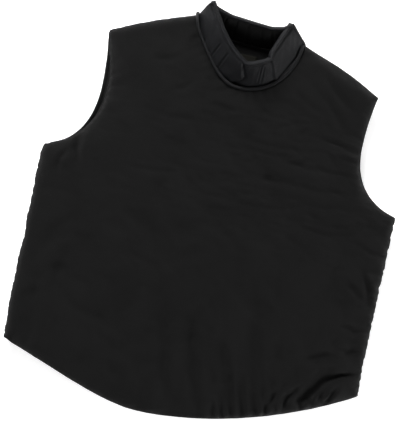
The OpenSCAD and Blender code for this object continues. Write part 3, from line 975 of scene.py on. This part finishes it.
back_hem = back["hem"][back["hem"][:, 0] <= INNER_X]
back_arm = back["left_armhole"]
back_arm = back_arm[(back_arm[:, 0] <= INNER_X) & (past_shoulder(back_arm, 1) <= 0)]
BOUND = (
    ("hem_front_binding", front["hem"], "front", ("front_hem_binding", "front_right_hem_binding"), None),
    ("hem_back_binding", back_hem, "back", ("back_hem_binding",), "vest_back"),
    ("armhole_left_front_binding", front["left_armhole"], "front",
     ("left_armhole_front_binding",), "front_flap"),
    ("armhole_right_front_binding", front["right_armhole"], "front",
     ("right_armhole_front_binding",), "vest_back"),
    ("armhole_left_back_binding", back_arm, "back", ("left_armhole_back_binding",), "vest_back"),
    ("armhole_right_back_binding", back["right_armhole"], "back",
     ("right_armhole_back_binding",), "vest_back"),
)
for k, edge_facts in enumerate(BOUND):
    bound_edge(*edge_facts, k + 1)
bound_edge("side_edge_binding", front["left_side"], "front", ("front_edge_binding",), "front_flap", 7,
           OPENING_TAPE, 1.3)
bound_edge("shoulder_edge_binding", front["left_shoulder"], "front", (), "front_flap", 8,
           OPENING_TAPE, 1.3)


# ---- closure flaps
def flap(name, origin, out, along, length, nodes, body, blend_line):
    """A flap sewn under the back's open edge, folded up and in, beneath the front."""
    low_z, top_z = STACK / 2 - 1, FLAP_Z - 1
    radius = (top_z - low_z) / 2
    middle_z = low_z + radius
    path = [(a, low_z) for a in (-14, -8, -4, 0)]
    path += [(radius * math.sin(t), middle_z - radius * math.cos(t)) for t in np.linspace(0.15, math.pi, 12)]
    path += [(-a, top_z - 0.25 * math.sin(a / 6)) for a in range(4, 50, 4)] + [(-49.5, top_z - 0.2)]
    path = np.array(path)
    rows = spaced([(0, 0), (0, length)], 6)[:, 1]
    half = 0.9
    square = left_of(path)
    far = lengths(path)
    verts, cloth = [], []
    for side in (-1, 1):
        for r in rows:
            wave = 0.35 * math.sin(r / 23.0 + far[-1])
            taper = 3 * (1 - min(1, r / 5, (length - r) / 5)) ** 2
            for (a, z), (na, nz), f in zip(path, square, far):
                free = float(smooth((f - far[8]) / 30))
                p = origin + out * (a + na * half * side + taper * free * 0.5) + along * r
                verts.append((p[0], p[1], z + nz * half * side + wave * free))
                cloth.append((r, f))
    obj = mesh_object(name, verts, two_sided(len(rows), len(path)), np.array(cloth), [FLAP_CLOTH])
    keep(obj, replaces=nodes, blend=("vest_back", body, blend_line))


def tape_top(name, origin, out, along, length, z, node, body, rise, thick=1.5):
    """A hook or loop tape with soft rounded edges and rows of tiny hooks on its rise side."""
    wide, inner = 38, -48
    rows = np.linspace(3, length - 3, int((length - 6) / 3))
    cols = np.linspace(inner, inner + wide, 27)
    last_i, last_j = len(rows) - 1, len(cols) - 1
    verts, cloth = [], []
    for side in (-1, 1):
        for i, r in enumerate(rows):
            for j, a in enumerate(cols):
                h = thick / 2 * (0.35 + 0.65 * min(1, j, last_j - j, i, last_i - i))
                if side == rise:
                    h += 0.12 * ((i + j) % 2)
                p = origin + out * a + along * r
                verts.append((p[0], p[1], z + thick / 2 + side * h))
                cloth.append((a, r))
    obj = mesh_object(name, verts, two_sided(len(rows), len(cols)), np.array(cloth), [HOOKS])
    keep(obj, body, replaces=(node,))


side_low = edge("side_closure_flap", "y", False)
side_high = edge("side_closure_flap", "y", True)
side_place = (np.array((INNER_X, side_low)), np.array((1.0, 0)), np.array((0, 1.0)), side_high - side_low)
flap("side_flap_cloth", *side_place, ("side_flap_fold", "side_closure_flap"), "side_closure",
     dict(start=(0.284, 0, 0.012), end=(0.272, 0, 0.024)))
_, s_along, s_out = shoulder_frame(1)
shoulder_len = float(np.linalg.norm(tip(1) - corner(1)))
s_origin = corner(1) - s_out * WRAP_R + s_along * 14
shoulder_place = (s_origin, s_out, s_along, shoulder_len - 20)
s_mid = s_origin * MM
flap("shoulder_flap_cloth", *shoulder_place, ("shoulder_flap_fold", "shoulder_closure_flap"),
     "shoulder_closure", dict(start=(*(s_mid + s_out * 0.004), 0.012), end=(*(s_mid - s_out * 0.008), 0.024)))
for name, spot in (("side", side_place), ("shoulder", shoulder_place)):
    low_z, high_z = edge(name + "_loop_tape", "z", False), edge(name + "_hook_tape", "z", False)
    tape_top(name + "_loops", *spot, low_z, name + "_loop_tape", name + "_closure", 1)
    tape_top(name + "_hooks", *spot, high_z, name + "_hook_tape", "front_flap", -1)


# ---- the collar
front_band = Band(FRONT_BAND, (0, 5, 9, 12))
back_band = Band(BACK_BAND, (0, 6))
front_band.normal *= -1


def window(v, low, high):
    """1 between two heights of the collar, 0 outside them."""
    return smooth((v - low) / 0.08) * smooth((high - v) / 0.08)


def groove(s, v, where, depth, width, low, high):
    """A sewn channel across the collar, with a lip on each side."""
    d = (s - where) / width
    return window(v, low, high) * depth * (bell(d, 1) - 0.35 * bell(np.abs(d) - 1.8, 1))


def overlap(past, before, reach_before, after, reach_after):
    """A step where one end of the collar lies over the next, at past = 0."""
    step = np.where(past < 0, before * np.exp(past / reach_before), after * np.exp(-past / reach_after))
    return step * smooth((np.abs(past) + 0.4) / 0.9)


def front_face(s, v):
    """Depth of the collar front's outer face: padded, with sewn channels and two overlapping ends."""
    at = front_band.at
    out = -1.5 * (1 - np.abs(2 * v - 1) ** 3)
    out -= 0.9 * perlin(np.stack([s, v * BAND_H], 1), 15, 51, 2)
    for station, low, high in ((2.45, 0.1, 0.72), (3.25, 0.0, 0.8), (7.55, 0.16, 0.84), (7.82, 0.16, 0.84)):
        where = np.interp(station, np.arange(len(at)), at)
        out += groove(s, v, where, 1.5, 1.5, low, high)
    pointed_end = at[5] - 8 + 16 * (1 - np.abs(2 * v - 0.9))
    out += overlap(s - pointed_end, -3.0, 13, 4.2, 6)
    out += overlap(at[9] - 2 * (v - 0.5) - s, -1.6, 9, 2.4, 5)
    return out + 0.4 * smooth(1 - v / 0.12) + 1.6 * smooth((v - 0.86) / 0.1)


def band_back(band, full):
    """The depth of a band's inner face, thinner at its ends and towards its edges."""
    def depth(s, v):
        ends = np.minimum(s, band.total - s)
        return (2.6 + (full - 2.6) * smooth(ends / 16)) * (0.55 + 0.45 * (1 - np.abs(2 * v - 1) ** 4))
    return depth


def back_inner(s, v):
    """The collar back's inner face, which shows in the neck opening, with its sewn channels."""
    quarter = back_band.total / 4
    out = band_back(back_band, BAND_T)(s, v)
    out += 0.5 * perlin(np.stack([s, v * BAND_H], 1), (11, 40), 52, 2)
    for k in (0.55, 1.0, 1.45, 2.0, 2.6, 3.0, 3.5):
        out -= groove(s, v, k * quarter, 1.8, 2.2, 0.05, 0.95)
    return out


def back_outer(s, v):
    """The collar back's outer face, rounded at both edges."""
    from_edge = np.minimum(v, 1 - v) * BAND_H
    return 0.8 * (1 - rounded(from_edge, 8)) + 0.3 * perlin(np.stack([s, v * BAND_H], 1), 20, 53)


last_f, last_b = len(front_band.s) - 1, len(back_band.s) - 1
FRONT_BAND_BLEND = ("vest_back", "front_flap",
                    dict(start=(-0.088, 0.310, 0.0206), end=(-0.0563, 0.2619, 0.0345)))
piece = band_piece("collar_front", front_band, 0, last_f, (0, 1), front_face, band_back(front_band, BAND_T),
                   [COLLAR_CLOTH, LINING])
keep(piece, blend=FRONT_BAND_BLEND,
     replaces=("collar_front_shell", "collar_front_foam", "collar_front_lining"))
piece = band_piece("collar_back", back_band, 0, last_b, (0, 1), back_outer, back_inner,
                   [COLLAR_CLOTH, LINING])
keep(piece, "vest_back",
     replaces=("collar_back_shell", "collar_back_foam", "collar_back_lining"))


def band_strip(name, points, normals, half_w, half_h, material, seed):
    """A strip of rounded section on the collar or the neck seam, a little uneven in width."""
    n = perlin_along(lengths(points), 12, seed)
    width, height = half_w * (1 + 0.10 * n), half_h * (1 + 0.14 * n)
    return tube(name, points, normals, width, height, 14, [material], 0.8)


top = np.array([front_band.point(i, 0.99, 3.4) for i in range(0, last_f + 1, 2)])
norms = front_band.normal[::2][: len(top)]
piece = band_strip("collar_front_top_binding", top, norms, 4.7, 3.0, COLLAR_CLOTH, 61)
keep(piece, blend=FRONT_BAND_BLEND, replaces=("collar_front_binding",))
top = np.array([back_band.point(i, 1.0, 2.6) for i in range(0, last_b + 1, 2)])
norms = back_band.normal[::2][: len(top)]
piece = band_strip("collar_back_top_binding", top, norms, 3.6, 2.6, COLLAR_CLOTH, 62)
keep(piece, "vest_back", replaces=("collar_back_binding",))

first = int(np.searchsorted(front_band.s, front_band.at[9] + 5))
end = [front_band.point(last_f, v, 0.6) for v in np.linspace(0.97, 0.1, 14)]
end += [front_band.point(last_f - k, 0.07, -0.6) for k in (2, 4)]
foot = [front_band.point(i, 0.06, -1.2) for i in range(last_f - 6, first, -2)]
line = Band._blur(np.array(end + foot), 5)
norms = np.resize(front_band.normal[last_f - 8], (len(line), 3))
piece = band_strip("collar_end_binding", line, norms, 2.6, 2.8, COLLAR_CLOTH, 63)
keep(piece, blend=FRONT_BAND_BLEND)


def flat_face(depth):
    """A face at the same depth everywhere."""
    return lambda s, v: depth + 0 * s


# The back band's left end turns the corner behind the front band's end, with the closing tapes between.
tab_first = last_f - int(26 / 1.5)
pieces = (
    # name, span across the band, depth, lead in stations, finish, slot, body, node
    ("collar_left_tab_cloth", (0.14, 0.86), 12.6, 0, COLLAR_CLOTH, "collar_fabric", "vest_back",
     "collar_left_tab"),
    ("collar_loops", (0.2, 0.8), 11.0, 6, HOOKS, "hook_and_loop", "vest_back", "collar_loop_patch"),
    ("collar_hooks", (0.2, 0.8), 9.3, 6, HOOKS, "hook_and_loop", "front_flap", "collar_hook_patch"),
)
for name, span_v, depth, lead, material, slot, body, node in pieces:
    piece = band_piece(name, front_band, tab_first + lead // 2, last_f - lead, span_v,
                       flat_face(depth), flat_face(depth + 1.4), [material], rows=12)
    keep(piece, body, replaces=(node,))
piece = band_piece("collar_right_return_cloth", front_band, 1, int(24 / 1.5), (0.14, 0.86),
                   flat_face(9.0), flat_face(10.4), [COLLAR_CLOTH], rows=12)
keep(piece, "vest_back", replaces=("collar_right_return",))

# Piping round the neck seam
neck = spaced(front["neck"][::-1], 3)[1:-1]
outside = -left_of(neck)
to_shoulder = distance(neck, spaced(front["left_shoulder"], 2))
height = EDGE_T + (PAD_T - EDGE_T) * rounded(to_shoulder, EDGE_R) + 0.6
line = place(neck + outside * 0.2, height, "front")
piece = band_strip("neck_piping_front", line, np.c_[outside, np.zeros(len(neck))], 2.9, 2.3, PIPING, 64)
keep(piece, blend=FRONT_ALL, replaces=("front_neck_piping",))
line = np.array([back_band.point(i, 0.0, BAND_T + 1) for i in range(8, last_b - 8, 2)])
line[:, 2] = STACK + 1.8
piece = band_strip("neck_piping_back", line, np.resize((0, 1.0, 0), (len(line), 3)), 2.0, 2.0, PIPING, 65)
keep(piece, "vest_back", replaces=("back_neck_piping",))


# ---- label
def label():
    """A blank label, sewn flat to the back lining, with lightly curled ends."""
    low, high = (np.array(v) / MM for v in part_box("neck_label"))
    xs, ys = np.linspace(low[0], high[0], 15), np.linspace(low[1], high[1], 9)
    verts, cloth = [], []
    for side in (0, 1):
        for i, x in enumerate(xs):
            curl = 0.5 * (abs(i - 7) / 7) ** 3 + 0.12 * math.sin(x / 4)
            for y in ys:
                verts.append((x, y, low[2] + 0.1 + 0.4 * side + curl * (side or 1)))
                cloth.append((x, y))
    obj = mesh_object("label_cloth", verts, two_sided(len(xs), len(ys)), np.array(cloth), [LABEL])
    keep(obj, "vest_back", replaces=("neck_label",))


label()


# ---- floor, light and camera
def stage_piece(name, verts, faces, glow, paper=None, roughness=None):
    """A white sheet that isn't part of the object."""
    mesh = bpy.data.meshes.new(name)
    mesh.from_pydata(verts, [], faces)
    obj = bpy.data.objects.new(name, mesh)
    bpy.context.scene.collection.objects.link(obj)
    m = bpy.data.materials.new(name + "_paper")
    m.use_nodes = True
    shader = m.node_tree.nodes["Principled BSDF"]
    if paper:
        shader.inputs["Base Color"].default_value = (paper, paper, paper, 1)
        shader.inputs["Roughness"].default_value = roughness
    shader.inputs["Emission Color"].default_value = (1, 1, 1, 1)
    shader.inputs["Emission Strength"].default_value = glow
    mesh.materials.append(m)
    return obj


def floor(half=6, z=-0.0006):
    corners = [(-half, -half, z), (half, -half, z), (half, half, z), (-half, half, z)]
    stage_piece("floor", corners, [(0, 1, 2, 3)], 0.6, 0.94, 0.9)


def backdrop(sides=48, radius=5.9, height=9):
    """A white wall and ceiling far round the scene, seen by the camera only."""
    turns = [2 * math.pi * k / sides for k in range(sides)]
    verts = [(radius * math.cos(t), radius * math.sin(t), z) for z in (-0.01, height) for t in turns]
    faces = [(k, (k + 1) % sides, sides + (k + 1) % sides, sides + k) for k in range(sides)]
    faces.append(tuple(range(sides, 2 * sides)))
    obj = stage_piece("backdrop", verts, faces, 1.0)
    obj.visible_diffuse = obj.visible_glossy = obj.visible_shadow = False


LIGHTS = (
    # name, place, size, watts
    ("key", (-0.8, 1.7, 1.1), (0.8, 0.8), 60),
    ("left", (-2.1, -0.3, 0.5), (0.6, 1.8), 12),
    ("right", (2.1, -0.6, 0.36), (0.5, 0.9), 36),
    ("front", (0.2, -1.9, 1.5), (0.8, 0.8), 13),
)
CAMERA_AT = (-0.0173, -0.0030, 1.994)
CAMERA_TURN = 12              # degrees, as the vest lies askew in the photograph
LENS = 100
WORLD_GLOW = 0.19


def lights():
    """Large soft lights that all point at the vest."""
    for name, place_at, size, watts in LIGHTS:
        data = bpy.data.lights.new(name, "AREA")
        data.shape = "RECTANGLE"
        data.size, data.size_y = size
        data.energy = watts
        obj = bpy.data.objects.new(name, data)
        obj.location = place_at
        obj.rotation_euler = (-Vector(place_at)).to_track_quat("-Z", "Y").to_euler()
        bpy.context.scene.collection.objects.link(obj)
    world = bpy.data.worlds.new("world")
    world.use_nodes = True
    world.node_tree.nodes["Background"].inputs[0].default_value = (1, 1, 1, 1)
    world.node_tree.nodes["Background"].inputs[1].default_value = WORLD_GLOW
    bpy.context.scene.world = world
    bpy.context.scene.view_settings.view_transform = "Standard"


def camera():
    """Straight above the vest, looking down."""
    data = bpy.data.cameras.new("camera")
    data.lens = LENS
    data.sensor_width = 36
    data.clip_start, data.clip_end = 0.05, 30
    obj = bpy.data.objects.new("camera", data)
    obj.location = CAMERA_AT
    obj.rotation_euler = (0, 0, math.radians(CAMERA_TURN))
    bpy.context.scene.collection.objects.link(obj)
    bpy.context.scene.camera = obj


floor()
backdrop()
lights()
camera()
